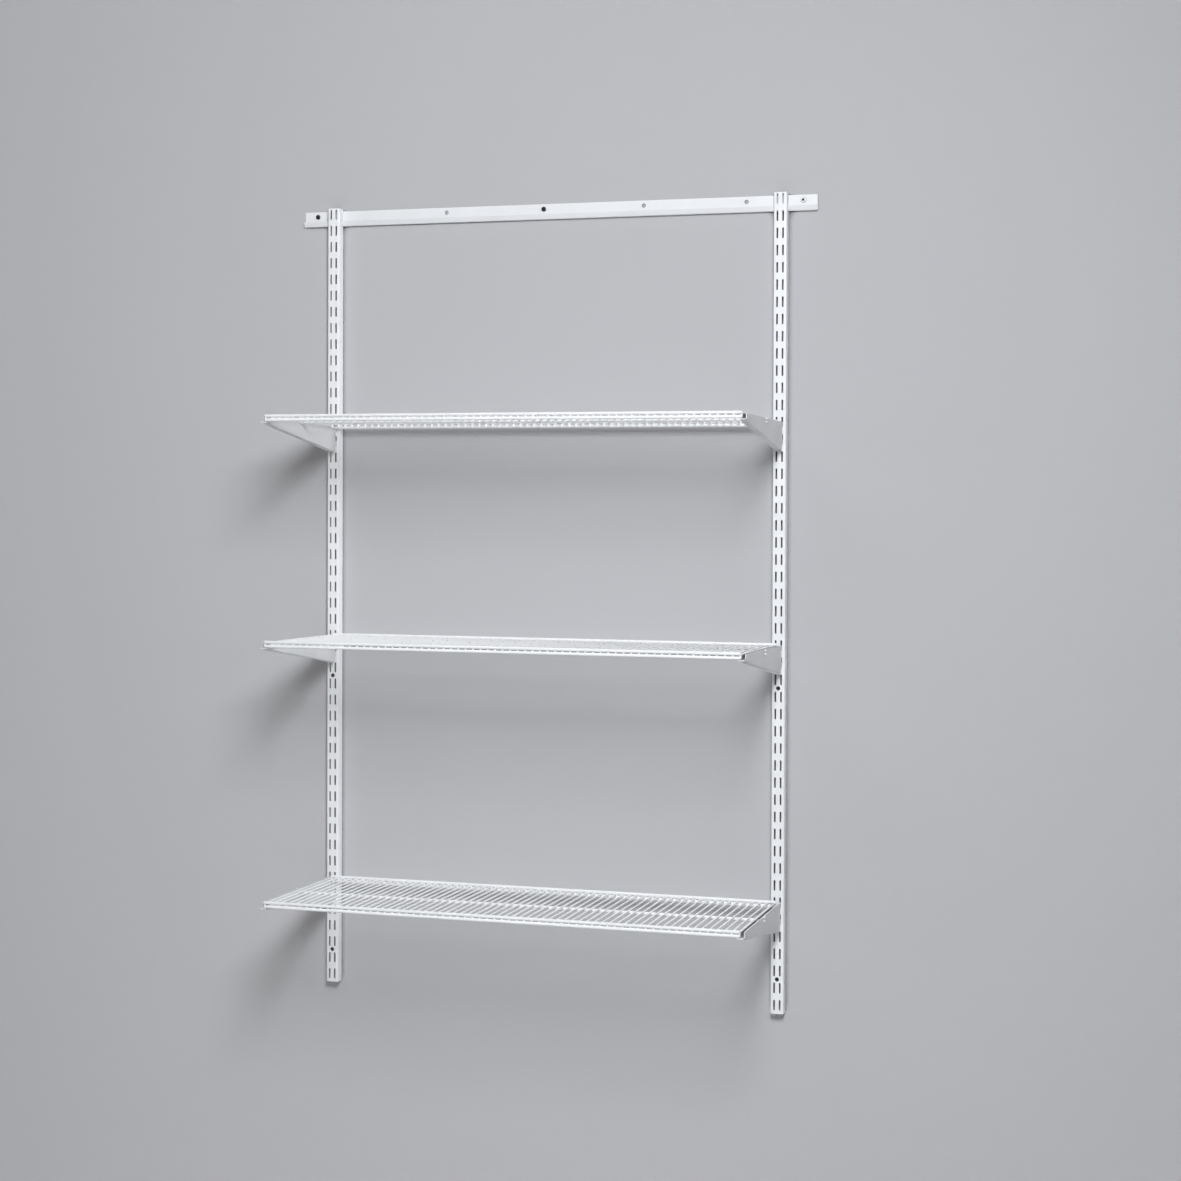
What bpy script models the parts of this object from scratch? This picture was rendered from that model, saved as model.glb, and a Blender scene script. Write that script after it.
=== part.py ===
"""Wall mounted closet system: a hang rail, two slotted uprights, click-in brackets and wire shelves.

Units are metres, +X is to the right, -Y is towards the room and +Z is up. The wall is the plane y = 0.
The origin is the middle of the hang rail's back face.
"""

import math

import bmesh
import bpy

# Gaps shared by all pieces
CONTACT_GAP = 0.0003
CUT_OVERRUN = 0.004

# Hang rail: a plate against the wall with an upturned lip along its lower edge
RAIL_OVERHANG = 0.0675
RAIL_HEIGHT = 0.030
RAIL_SHEET = 0.0018
RAIL_LIP_REACH = 0.0093
RAIL_LIP_HEIGHT = 0.010
RAIL_BEND_RADIUS = 0.0022
RAIL_HOLE_RADIUS = 0.004
RAIL_HOLE_DROP = 0.010
RAIL_END_HOLE_INSET = 0.027
RAIL_HOLE_START = 0.2995
RAIL_HOLE_PITCH = 0.200

# Rail screws
SCREW_SHANK_RADIUS = 0.0025
SCREW_SHANK_LENGTH = 0.040
SCREW_POINT_LENGTH = 0.006
SCREW_HEAD_HEIGHT = 0.0026
SCREW_HEAD_RIM = 0.0010
SCREW_RECESS_RADIUS = 0.0020
SCREW_RECESS_DEPTH = 0.0015
DARK_HEAD_RADIUS = 0.0046
WHITE_HEAD_RADIUS = 0.0052

# Uprights: channels open to the wall, with two columns of slots in the face
UPRIGHT_WIDTH = 0.025
UPRIGHT_DEPTH = 0.018
UPRIGHT_SHEET = 0.0015
UPRIGHT_CORNER_RADIUS = 0.0024
UPRIGHT_ABOVE_RAIL = 0.004
UPRIGHT_TAIL = 0.2083
SLOT_PITCH = 0.032
SLOT_LENGTH = 0.020
SLOT_WIDTH = 0.0033
SLOT_SPACING = 0.0107
FIRST_SLOT_DROP = 0.012
SLOT_END_BRIDGE = 0.005
FIXING_HOLE_RADIUS = 0.004
FIXING_HOLE_DROPS = (0.912, 1.456)

# Shelf levels, measured down the column of slots
TOP_SHELF_DROP = 0.416
MIDDLE_SHELF_DROP = 0.416
BOTTOM_SHELF_DROP = 0.480

# Wire shelf
SHELF_LENGTH = 0.899
SHELF_END_CLEARANCE = 0.0005
SHELF_WIRE_SPAN = 0.300
SHELF_FRONT_RISE = 0.0045
SHELF_REAR_REACH = 0.008
SHELF_REAR_HEIGHT = 0.002
EDGE_WIRE_RADIUS = 0.00275
EDGE_WIRE_DROP = 0.0075
DECK_WIRE_RADIUS = 0.00145
DECK_WIRE_PITCH = 0.014
DECK_WIRE_DROP = 0.0013
MID_WIRE_RADIUS = 0.0025
MID_WIRE_REACH = 0.157
WELD_DEPTH = 0.0004

# Bracket: folded sheet, two plates joined by a web along the lower edge
BRACKET_SHEET = 0.0018
BRACKET_TIP_SETBACK = 0.008
BRACKET_TOP_DROP = 0.0012
BRACKET_TIP_DEPTH = 0.014
BRACKET_REAR_DEPTH = 0.0545
BRACKET_REAR_RADIUS = 0.012
BRACKET_REAR_GAP = 0.003
BRACKET_NOTCH_LENGTH = 0.017
BRACKET_WEB_START = 0.022
TONGUE_REACH = 0.0025
TONGUE_STEP = 0.007
HOOK_NECK_HEIGHT = 0.010
HOOK_THICKNESS = 0.004
HOOK_DROP = 0.005

# Counts of facets and patterns
ROUND_SIDES = 6
HOLE_SIDES = 12
SCREW_SIDES = 12
DECK_SIDES = 4
CORNER_STEPS = 3
TIE_EVERY = 8
SMOOTH_ANGLE = math.radians(65)

# Finishes: colour, roughness, metallic
WHITE_COAT = ((0.86, 0.87, 0.89, 1.0), 0.38, 0.0)
WIRE_COAT = ((0.88, 0.89, 0.90, 1.0), 0.34, 0.0)
WHITE_SCREW = ((0.88, 0.88, 0.87, 1.0), 0.32, 0.0)
DARK_SCREW = ((0.05, 0.045, 0.04, 1.0), 0.42, 0.8)

# Sizes and places that follow from the sizes above
UPRIGHT_SPACING = SHELF_LENGTH + 2 * SHELF_END_CLEARANCE
RAIL_LENGTH = UPRIGHT_SPACING + 2 * RAIL_OVERHANG
BRACKET_REACH = SHELF_REAR_REACH + SHELF_WIRE_SPAN - BRACKET_TIP_SETBACK
RAIL_TOP = RAIL_HEIGHT / 2
RAIL_BOTTOM = -RAIL_HEIGHT / 2
UPRIGHT_TOP = RAIL_TOP + UPRIGHT_ABOVE_RAIL
FIRST_SLOT_HEIGHT = UPRIGHT_TOP - FIRST_SLOT_DROP
UPRIGHT_FACE = -UPRIGHT_DEPTH
PLATE_OFFSET = SLOT_SPACING / 2
DECK_TILT = math.atan2(SHELF_FRONT_RISE, SHELF_WIRE_SPAN)


def snapped_rows():
    """Count of slot pitches from the first slot down to each shelf, from the top shelf to the bottom one."""
    rows = []
    drop = 0
    for gap in (TOP_SHELF_DROP, MIDDLE_SHELF_DROP, BOTTOM_SHELF_DROP):
        drop += gap
        rows.append(round(drop / SLOT_PITCH))
    return rows


SHELF_ROWS = snapped_rows()
UPRIGHT_LENGTH = FIRST_SLOT_DROP + SHELF_ROWS[-1] * SLOT_PITCH + UPRIGHT_TAIL
UPRIGHT_BOTTOM = UPRIGHT_TOP - UPRIGHT_LENGTH


def clear_scene():
    """Remove every object that the scene holds."""
    for obj in list(bpy.data.objects):
        bpy.data.objects.remove(obj, do_unlink=True)


def make_material(name, finish):
    """A Principled BSDF material from a finish of colour, roughness and metallic."""
    colour, roughness, metallic = finish
    material = bpy.data.materials.new(name)
    material.use_nodes = True
    shader = material.node_tree.nodes["Principled BSDF"]
    shader.inputs["Base Color"].default_value = colour
    shader.inputs["Roughness"].default_value = roughness
    shader.inputs["Metallic"].default_value = metallic
    return material


def add_object(name, mesh, location, parent=None, finish=None):
    """Link an object with this mesh, dressed in a material of its own when it has a finish."""
    obj = bpy.data.objects.new(name, mesh)
    bpy.context.scene.collection.objects.link(obj)
    obj.location = location
    obj.parent = parent
    if finish:
        obj.data.materials.append(None)
        obj.material_slots[0].link = "OBJECT"
        obj.material_slots[0].material = make_material(name + "_finish", finish)
    return obj


def add_tool(name, mesh, target, operation):
    """Hide a helper with this mesh on the target and give the target a Boolean with it."""
    helper = add_object(name, mesh, (0, 0, 0), target)
    helper.hide_render = True
    helper.display_type = "WIRE"
    modifier = target.modifiers.new(name, "BOOLEAN")
    modifier.operation = operation
    modifier.solver = "EXACT"
    modifier.object = helper
    return helper


def finished_mesh(name, shape):
    """Turn a bmesh into a mesh with outward faces and smooth round sides."""
    bmesh.ops.recalc_face_normals(shape, faces=shape.faces)
    mesh = bpy.data.meshes.new(name)
    shape.to_mesh(mesh)
    shape.free()
    mesh.shade_smooth()
    mesh.set_sharp_from_angle(angle=SMOOTH_ANGLE)
    return mesh


def add_prism(shape, outline, place, near, far):
    """Close a prism in the bmesh: the outline carried from near to far, each point set by place(point, depth)."""
    rings = []
    for depth in (near, far):
        rings.append([shape.verts.new(place(point, depth)) for point in outline])
    shape.faces.new(rings[0])
    shape.faces.new(reversed(rings[1]))
    for i, corner in enumerate(rings[0]):
        j = (i + 1) % len(outline)
        shape.faces.new((corner, rings[1][i], rings[1][j], rings[0][j]))


def along_x(point, depth):
    """A point of a side outline in Y and Z, set at a place along X."""
    return (depth, point[0], point[1])


def along_y(point, depth):
    """A point of a front outline in X and Z, set at a place along Y."""
    return (point[0], depth, point[1])


def along_z(point, depth):
    """A point of a plan outline in X and Y, set at a height."""
    return (point[0], point[1], depth)


def rectangle(left, right, low, high):
    """Corners of a rectangle."""
    return [(left, low), (right, low), (right, high), (left, high)]


def flat_radius(radius, sides):
    """Distance from the centre to a flat of the regular polygon with the area of the round section."""
    return radius * math.sqrt(math.pi / (sides * math.tan(math.pi / sides)))


def corner_radius(radius, sides):
    """Distance from the centre to a corner of the regular polygon with the area of the round section."""
    return flat_radius(radius, sides) / math.cos(math.pi / sides)


def ring_points(across, up, radius, sides, first_turn=0):
    """Corners of a regular polygon round a centre, the first one at an angle from the across direction."""
    turns = [first_turn + 2 * math.pi * i / sides for i in range(sides)]
    return [(across + radius * math.cos(turn), up + radius * math.sin(turn)) for turn in turns]


def rounded(corners):
    """Outline with arcs: each corner is (across, up, radius), and a radius of zero keeps it sharp."""
    outline = []
    for i, (across, up, radius) in enumerate(corners):
        before = corners[i - 1]
        after = corners[(i + 1) % len(corners)]
        if radius == 0:
            outline.append((across, up))
            continue
        back = (before[0] - across, before[1] - up)
        ahead = (after[0] - across, after[1] - up)
        back_length = math.hypot(*back)
        ahead_length = math.hypot(*ahead)
        back = (back[0] / back_length, back[1] / back_length)
        ahead = (ahead[0] / ahead_length, ahead[1] / ahead_length)
        half_angle = math.acos(back[0] * ahead[0] + back[1] * ahead[1]) / 2
        middle = (back[0] + ahead[0], back[1] + ahead[1])
        middle_length = math.hypot(*middle)
        to_centre = radius / math.sin(half_angle) / middle_length
        centre = (across + middle[0] * to_centre, up + middle[1] * to_centre)
        tangent = radius / math.tan(half_angle)
        start = (across + back[0] * tangent, up + back[1] * tangent)
        end = (across + ahead[0] * tangent, up + ahead[1] * tangent)
        first = math.atan2(start[1] - centre[1], start[0] - centre[0])
        last = math.atan2(end[1] - centre[1], end[0] - centre[0])
        sweep = math.remainder(last - first, 2 * math.pi)
        for step in range(CORNER_STEPS + 1):
            turn = first + sweep * step / CORNER_STEPS
            outline.append((centre[0] + radius * math.cos(turn), centre[1] + radius * math.sin(turn)))
    return outline


def rail_outline(grow):
    """The rail's section in Y and Z. A positive grow gives the same section with that much clearance round it."""
    front = -RAIL_LIP_REACH - grow
    lip_back = -RAIL_LIP_REACH + RAIL_SHEET + grow
    plate_front = -RAIL_SHEET - grow
    floor = RAIL_BOTTOM + RAIL_SHEET + grow
    bottom = RAIL_BOTTOM - grow
    lip_top = RAIL_BOTTOM + RAIL_LIP_HEIGHT + grow
    outer = RAIL_BEND_RADIUS + grow
    return rounded([
        (grow, RAIL_TOP + grow, 0),
        (plate_front, RAIL_TOP + grow, 0),
        (plate_front, floor, 0),
        (lip_back, floor, 0),
        (lip_back, lip_top, 0),
        (front, lip_top, 0),
        (front, bottom, outer),
        (grow, bottom, 0),
    ])


def rail_hole_places():
    """Places of the rail's holes along X, from left to right."""
    left = -RAIL_LENGTH / 2
    last = RAIL_LENGTH - RAIL_END_HOLE_INSET
    places = [left + RAIL_END_HOLE_INSET]
    place = RAIL_HOLE_START
    while place < last - RAIL_HOLE_PITCH / 3:
        places.append(left + place)
        place += RAIL_HOLE_PITCH
    places.append(left + last)
    return places


def build_rail():
    """The hang rail with its row of fixing holes."""
    shape = bmesh.new()
    add_prism(shape, rail_outline(0), along_x, -RAIL_LENGTH / 2, RAIL_LENGTH / 2)
    rail = add_object("hang_rail", finished_mesh("hang_rail", shape), (0, 0, 0), None, WHITE_COAT)
    holes = bmesh.new()
    for place in rail_hole_places():
        ring = ring_points(place, RAIL_TOP - RAIL_HOLE_DROP, RAIL_HOLE_RADIUS, HOLE_SIDES)
        add_prism(holes, ring, along_y, -RAIL_SHEET - CUT_OVERRUN, CUT_OVERRUN)
    add_tool("rail_hole_cutter", finished_mesh("rail_hole_cutter", holes), rail, "DIFFERENCE")
    return rail


def screw_mesh(head_radius):
    """A pan head screw turned about Y: head towards the room, shank into the wall, a pit in the head."""
    seat = -RAIL_SHEET - CONTACT_GAP
    rim = seat - SCREW_HEAD_RIM
    crown = seat - SCREW_HEAD_HEIGHT
    pit = crown + SCREW_RECESS_DEPTH
    shoulder = (head_radius + SCREW_RECESS_RADIUS) / 2
    profile = [
        (SCREW_RECESS_RADIUS / 2, pit),
        (SCREW_RECESS_RADIUS, crown),
        (shoulder, (2 * crown + rim) / 3),
        (head_radius, rim),
        (head_radius, seat),
        (SCREW_SHANK_RADIUS, seat),
        (SCREW_SHANK_RADIUS, SCREW_SHANK_LENGTH - SCREW_POINT_LENGTH),
    ]
    shape = bmesh.new()
    rings = []
    for radius, depth in profile:
        ring = ring_points(0, 0, radius, SCREW_SIDES)
        rings.append([shape.verts.new((across, depth, up)) for across, up in ring])
    for near, far in zip(rings, rings[1:]):
        for i in range(SCREW_SIDES):
            j = (i + 1) % SCREW_SIDES
            shape.faces.new((near[i], near[j], far[j], far[i]))
    for ring, depth in ((rings[0], pit), (rings[-1], SCREW_SHANK_LENGTH)):
        middle = shape.verts.new((0, depth, 0))
        for i in range(SCREW_SIDES):
            shape.faces.new((ring[i], ring[(i + 1) % SCREW_SIDES], middle))
    return finished_mesh("screw", shape)


def build_screws(rail):
    """Screws in the two end holes and in the hole nearest the middle."""
    places = rail_hole_places()
    middle = min(places, key=abs)
    screws = (
        ("rail_screw_left", places[0], DARK_HEAD_RADIUS, DARK_SCREW),
        ("rail_screw_middle", middle, DARK_HEAD_RADIUS, DARK_SCREW),
        ("rail_screw_right", places[-1], WHITE_HEAD_RADIUS, WHITE_SCREW),
    )
    for name, place, head_radius, finish in screws:
        add_object(name, screw_mesh(head_radius), (place, 0, RAIL_TOP - RAIL_HOLE_DROP), rail, finish)


def upright_outline():
    """The upright's section in X and Y: a channel open to the wall."""
    half = UPRIGHT_WIDTH / 2
    inner = half - UPRIGHT_SHEET
    floor = UPRIGHT_FACE + UPRIGHT_SHEET
    bend = UPRIGHT_CORNER_RADIUS
    inner_bend = UPRIGHT_CORNER_RADIUS - UPRIGHT_SHEET
    return rounded([
        (-half, 0, 0),
        (-half, UPRIGHT_FACE, bend),
        (half, UPRIGHT_FACE, bend),
        (half, 0, 0),
        (inner, 0, 0),
        (inner, floor, inner_bend),
        (-inner, floor, inner_bend),
        (-inner, 0, 0),
    ])


def slot_heights():
    """Heights of the slot centres, from the top row to the last that fits."""
    usable = UPRIGHT_LENGTH - FIRST_SLOT_DROP - SLOT_LENGTH / 2 - SLOT_END_BRIDGE
    rows = int(usable / SLOT_PITCH) + 1
    return [FIRST_SLOT_HEIGHT - row * SLOT_PITCH for row in range(rows)]


def upright_cutter_mesh():
    """The slots, the two fixing holes between rows and the clearance for the rail."""
    shape = bmesh.new()
    near = UPRIGHT_FACE - CUT_OVERRUN
    far = UPRIGHT_FACE + UPRIGHT_SHEET + CUT_OVERRUN
    for height in slot_heights():
        for side in (-1, 1):
            middle = side * SLOT_SPACING / 2
            left = middle - SLOT_WIDTH / 2
            right = middle + SLOT_WIDTH / 2
            slot = rectangle(left, right, height - SLOT_LENGTH / 2, height + SLOT_LENGTH / 2)
            add_prism(shape, slot, along_y, near, far)
    for drop in FIXING_HOLE_DROPS:
        steps = math.floor(drop / SLOT_PITCH) + 0.5
        height = FIRST_SLOT_HEIGHT - steps * SLOT_PITCH
        add_prism(shape, ring_points(0, height, FIXING_HOLE_RADIUS, HOLE_SIDES), along_y, near, far)
    half = UPRIGHT_WIDTH / 2 + CUT_OVERRUN
    add_prism(shape, rail_outline(CONTACT_GAP), along_x, -half, half)
    return finished_mesh("upright_cutter", shape)


def build_upright(name, place, rail):
    """One upright, hung on the rail's lip by the tongues that its side walls keep behind the lip."""
    shape = bmesh.new()
    add_prism(shape, upright_outline(), along_z, UPRIGHT_BOTTOM, UPRIGHT_TOP)
    upright = add_object(name, finished_mesh(name, shape), (place, 0, 0), rail, WHITE_COAT)
    add_tool(name + "_cutter", upright_cutter_mesh(), upright, "DIFFERENCE")
    return upright


def deck_point(distance, depth):
    """Reach from the upright's face, and height over the slot centre, of a point of the tilted shelf.

    The point is given by its distance in front of the rear edge wire and its depth below it.
    """
    reach = SHELF_REAR_REACH + distance * math.cos(DECK_TILT) + depth * math.sin(DECK_TILT)
    height = SHELF_REAR_HEIGHT + distance * math.sin(DECK_TILT) - depth * math.cos(DECK_TILT)
    return reach, height


def mid_wire_depth():
    """Depth of the mid wire's centre: its ridge is welded to the deck wires from below."""
    deck_flat = flat_radius(DECK_WIRE_RADIUS, DECK_SIDES)
    mid_corner = corner_radius(MID_WIRE_RADIUS, ROUND_SIDES)
    return DECK_WIRE_DROP + deck_flat + mid_corner - WELD_DEPTH


def bracket_top(reach):
    """Height of the plates' upper edge at a reach."""
    start_reach, start_height = deck_point(0, BRACKET_TOP_DROP)
    return start_height + (reach - start_reach) * math.tan(DECK_TILT)


def bracket_outline():
    """Side outline of a bracket as reach from the upright's face and height over the slot centre."""
    neck_bottom = -SLOT_LENGTH / 2 + CONTACT_GAP
    neck_top = neck_bottom + HOOK_NECK_HEIGHT
    hook_front = -UPRIGHT_SHEET - CONTACT_GAP
    hook_back = hook_front - HOOK_THICKNESS
    hook_bottom = neck_bottom - HOOK_DROP
    notch_back = deck_point(0, 0)[0] - corner_radius(EDGE_WIRE_RADIUS, ROUND_SIDES) - CONTACT_GAP
    notch_front = notch_back + BRACKET_NOTCH_LENGTH
    notch_floor = deck_point(0, EDGE_WIRE_DROP)[1] - EDGE_WIRE_RADIUS - CONTACT_GAP
    mid_reach, mid_height = deck_point(MID_WIRE_REACH, mid_wire_depth())
    mid_room = corner_radius(MID_WIRE_RADIUS, ROUND_SIDES) + CONTACT_GAP
    tip_top = bracket_top(BRACKET_REACH)
    tongue_end, tongue_top = tongue_end_and_top()
    tongue_start = BRACKET_REACH - TONGUE_STEP
    corner_bottom = -BRACKET_REAR_DEPTH
    upper_end = [
        (hook_back, neck_top, 0),
        (notch_back, neck_top, 0),
        (notch_back, notch_floor, 0),
        (notch_front, notch_floor, 0),
        (notch_front, bracket_top(notch_front), 0),
        (mid_reach - mid_room, bracket_top(mid_reach - mid_room), 0),
        (mid_reach - mid_room, mid_height - mid_room, 0),
        (mid_reach + mid_room, mid_height - mid_room, 0),
        (mid_reach + mid_room, bracket_top(mid_reach + mid_room), 0),
        (BRACKET_REACH, tip_top, 0),
        (BRACKET_REACH, tongue_top, 0),
        (tongue_end, tongue_top, 0),
        (tongue_end, tongue_top - BRACKET_SHEET, 0),
        (BRACKET_REACH, tongue_top - BRACKET_SHEET, 0),
        (tongue_start, lower_edge(tongue_start), 0),
        (BRACKET_REAR_GAP, corner_bottom, BRACKET_REAR_RADIUS),
    ]
    hooks = []
    for row in (1, 0):
        drop = row * SLOT_PITCH
        hooks += [
            (BRACKET_REAR_GAP, neck_bottom - drop, 0),
            (hook_front, neck_bottom - drop, 0),
            (hook_front, hook_bottom - drop, 0),
            (hook_back, hook_bottom - drop, 0),
        ]
        if row:
            hooks += [
                (hook_back, neck_top - drop, 0),
                (BRACKET_REAR_GAP, neck_top - drop, 0),
            ]
    return rounded(upper_end + hooks)


def lower_edge(reach):
    """Height of the bracket's straight lower edge at a reach."""
    tip_bottom = bracket_top(BRACKET_REACH) - BRACKET_TIP_DEPTH
    slope = (tip_bottom + BRACKET_REAR_DEPTH) / (BRACKET_REACH - BRACKET_REAR_GAP)
    return tip_bottom - (BRACKET_REACH - reach) * slope


def tongue_end_and_top():
    """Reach of the tongue's end and height of its upper face, just under the lower front wire."""
    reach, height = deck_point(SHELF_WIRE_SPAN, EDGE_WIRE_DROP)
    return reach + TONGUE_REACH, height - EDGE_WIRE_RADIUS - CONTACT_GAP


def bracket_hollow_outline():
    """Side outline of the room between the plates, above the web and clear of the rear corner."""
    tongue_end, tongue_top = tongue_end_and_top()
    tongue_start = BRACKET_REACH - TONGUE_STEP
    high = bracket_top(BRACKET_REACH) + CUT_OVERRUN
    low = -BRACKET_REAR_DEPTH - CUT_OVERRUN
    back = -UPRIGHT_SHEET - HOOK_THICKNESS - CUT_OVERRUN
    return [
        (back, low),
        (BRACKET_WEB_START, low),
        (BRACKET_WEB_START, lower_edge(BRACKET_WEB_START) + BRACKET_SHEET),
        (tongue_start, lower_edge(tongue_start) + BRACKET_SHEET),
        (BRACKET_REACH, tongue_top),
        (tongue_end + CUT_OVERRUN, tongue_top),
        (tongue_end + CUT_OVERRUN, high),
        (back, high),
    ]


def forward_x(point, depth):
    """A point given by its reach in front of an upright's face and its height, set at a place along X."""
    return (depth, -point[0], point[1])


def bracket_mesh():
    """The bracket's full width block, from which the hollow is cut."""
    half = PLATE_OFFSET + BRACKET_SHEET / 2
    shape = bmesh.new()
    add_prism(shape, bracket_outline(), forward_x, -half, half)
    return finished_mesh("bracket", shape)


def bracket_hollow_mesh():
    """The room between the bracket's plates."""
    half = PLATE_OFFSET - BRACKET_SHEET / 2
    shape = bmesh.new()
    add_prism(shape, bracket_hollow_outline(), forward_x, -half, half)
    return finished_mesh("bracket_hollow", shape)


def build_bracket(name, upright, row):
    """A click-in bracket hooked into two rows of slots, with its origin on the upper slot's centre."""
    place = (0, UPRIGHT_FACE, FIRST_SLOT_HEIGHT - row * SLOT_PITCH)
    bracket = add_object(name, bracket_mesh(), place, upright, WHITE_COAT)
    add_tool(name + "_hollow", bracket_hollow_mesh(), bracket, "DIFFERENCE")
    return bracket


def long_wires_mesh():
    """The wires along X: two stacked at the rear, two at the front and one under the deck."""
    half = SHELF_LENGTH / 2
    ridge_up = math.pi / 2
    wires = [
        (0, 0, EDGE_WIRE_RADIUS, 0),
        (0, EDGE_WIRE_DROP, EDGE_WIRE_RADIUS, 0),
        (SHELF_WIRE_SPAN, 0, EDGE_WIRE_RADIUS, 0),
        (SHELF_WIRE_SPAN, EDGE_WIRE_DROP, EDGE_WIRE_RADIUS, 0),
        (MID_WIRE_REACH, mid_wire_depth(), MID_WIRE_RADIUS, ridge_up),
    ]
    shape = bmesh.new()
    for distance, depth, radius, turn in wires:
        corner = corner_radius(radius, ROUND_SIDES)
        section = ring_points(-distance, -depth, corner, ROUND_SIDES, turn)
        add_prism(shape, section, along_x, -half, half)
    return finished_mesh("long_wires", shape)


def tied_wire_outline(rear, front, half):
    """Side outline of a deck wire whose ends are bent down to the lower edge wires."""
    top = -DECK_WIRE_DROP + half
    under = -DECK_WIRE_DROP - half
    foot = -EDGE_WIRE_DROP
    return [
        (-rear + half, foot),
        (-rear + half, top),
        (-front - half, top),
        (-front - half, foot),
        (-front + half, foot),
        (-front + half, under),
        (-rear - half, under),
        (-rear - half, foot),
    ]


def deck_wires_mesh():
    """The wires from rear to front. Every few wires one has its ends bent down to the lower edge wires."""
    half = flat_radius(DECK_WIRE_RADIUS, DECK_SIDES)
    edge_corner = corner_radius(EDGE_WIRE_RADIUS, ROUND_SIDES)
    rear = edge_corner + half - WELD_DEPTH
    front = SHELF_WIRE_SPAN - rear
    first = SHELF_LENGTH / 2 - DECK_WIRE_RADIUS
    gaps = round(2 * first / DECK_WIRE_PITCH)
    pitch = 2 * first / gaps
    straight_end = edge_corner / 2
    shape = bmesh.new()
    for i in range(gaps + 1):
        place = -first + i * pitch
        if i % TIE_EVERY == 0:
            outline = tied_wire_outline(rear, front, half)
        else:
            near = -straight_end
            far = -SHELF_WIRE_SPAN + straight_end
            outline = rectangle(far, near, -DECK_WIRE_DROP - half, -DECK_WIRE_DROP + half)
        add_prism(shape, outline, along_x, place - half, place + half)
    return finished_mesh("deck_wires", shape)


def build_shelf(name, left_bracket):
    """A wire shelf that rests in the notches of its two brackets, with its origin on the rear top wire."""
    place = (UPRIGHT_SPACING / 2, -SHELF_REAR_REACH, SHELF_REAR_HEIGHT)
    shelf = add_object(name, long_wires_mesh(), place, left_bracket, WIRE_COAT)
    shelf.rotation_euler = (-DECK_TILT, 0, 0)
    add_tool(name + "_deck", deck_wires_mesh(), shelf, "UNION")
    return shelf


def main():
    """Build the whole system."""
    clear_scene()
    rail = build_rail()
    build_screws(rail)
    left_upright = build_upright("left_upright", -UPRIGHT_SPACING / 2, rail)
    right_upright = build_upright("right_upright", UPRIGHT_SPACING / 2, rail)
    for level, row in zip(("top", "middle", "bottom"), SHELF_ROWS):
        left_bracket = build_bracket(level + "_left_bracket", left_upright, row)
        build_bracket(level + "_right_bracket", right_upright, row)
        build_shelf(level + "_shelf", left_bracket)


if __name__ == "__main__":
    main()
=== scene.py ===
"""Looks of the wall mounted closet system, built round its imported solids.

Units are metres: +X is to the right, -Y is towards the room and +Z is up. The wall is the plane y = 0.
"""

from __future__ import annotations

import logging
import math
from dataclasses import dataclass
from enum import Enum

import bmesh
import bpy
import numpy as np
from mathutils import Matrix, Vector

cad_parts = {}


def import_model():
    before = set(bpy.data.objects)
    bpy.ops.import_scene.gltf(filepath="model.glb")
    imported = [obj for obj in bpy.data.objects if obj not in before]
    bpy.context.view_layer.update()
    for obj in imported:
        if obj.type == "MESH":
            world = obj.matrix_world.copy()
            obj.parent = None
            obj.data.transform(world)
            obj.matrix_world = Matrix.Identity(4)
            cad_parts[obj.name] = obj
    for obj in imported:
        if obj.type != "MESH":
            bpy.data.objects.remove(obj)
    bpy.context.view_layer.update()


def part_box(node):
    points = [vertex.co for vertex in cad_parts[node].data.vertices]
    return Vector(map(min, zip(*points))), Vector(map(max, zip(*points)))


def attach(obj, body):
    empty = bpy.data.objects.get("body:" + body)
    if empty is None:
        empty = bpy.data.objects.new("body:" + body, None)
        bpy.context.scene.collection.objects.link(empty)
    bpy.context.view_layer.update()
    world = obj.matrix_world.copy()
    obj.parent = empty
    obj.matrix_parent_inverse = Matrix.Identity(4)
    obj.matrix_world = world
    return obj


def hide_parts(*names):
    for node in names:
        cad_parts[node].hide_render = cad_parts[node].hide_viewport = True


LOG = logging.getLogger("closet")
CONTACT_GAP = 0.0003
WELD_REACH = 1e-6
SHARP_ANGLE = math.radians(38)
CUT_OVERRUN = 0.004
TIP_INSET_SHARES = (0.0, 0.35, 1.0)
TIP_RADIUS_SHARES = (0.45, 0.86, 1.0)

Array = np.ndarray
Mesh = bpy.types.Mesh
Socket = bpy.types.NodeSocket
Triple = tuple[float, float, float]
Pair = tuple[float, float]
Inputs = dict[str | int, object]


class Named(Enum):
    """A choice whose name is also part of the solids' names."""

    @property
    def word(self) -> str:
        """The name as the solids' names have it."""
        return self.name.lower()


class Side(Named):
    """The two ends of a shelf, each with the sign of its place along X."""

    LEFT = -1
    RIGHT = 1


class Level(Named):
    """The three shelves, each with the row of slots that its brackets hook into."""

    TOP = 13
    MIDDLE = 26
    BOTTOM = 41


class Axis(Enum):
    """The direction along which an outline is carried, with the order in which its points are written."""

    X = (2, 0, 1)
    Y = (0, 2, 1)
    Z = (0, 1, 2)


@dataclass(frozen=True)
class Layout:
    """Places that the pieces share."""

    upright_spacing: float = 0.900
    face: float = -0.018
    first_slot_height: float = 0.007
    slot_pitch: float = 0.032

    def row_height(self, row: float | Array) -> float | Array:
        """Height of the slot centres that lie this count of pitches below the first row."""
        return self.first_slot_height - row * self.slot_pitch

    def upright_place(self, side: Side) -> float:
        """Place along X of the middle of this side's upright."""
        return side.value * self.upright_spacing / 2


def points_at(x: float | Array, y: float | Array, z: float | Array) -> Array:
    """Array of points from their three places, of which some may be the same for all points."""
    return np.stack(np.broadcast_arrays(x, y, z), axis=-1)


def even_turns(sides: int) -> Array:
    """Angles of a ring's points, spread evenly from zero."""
    return np.arange(sides) * 2 * np.pi / sides


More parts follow.
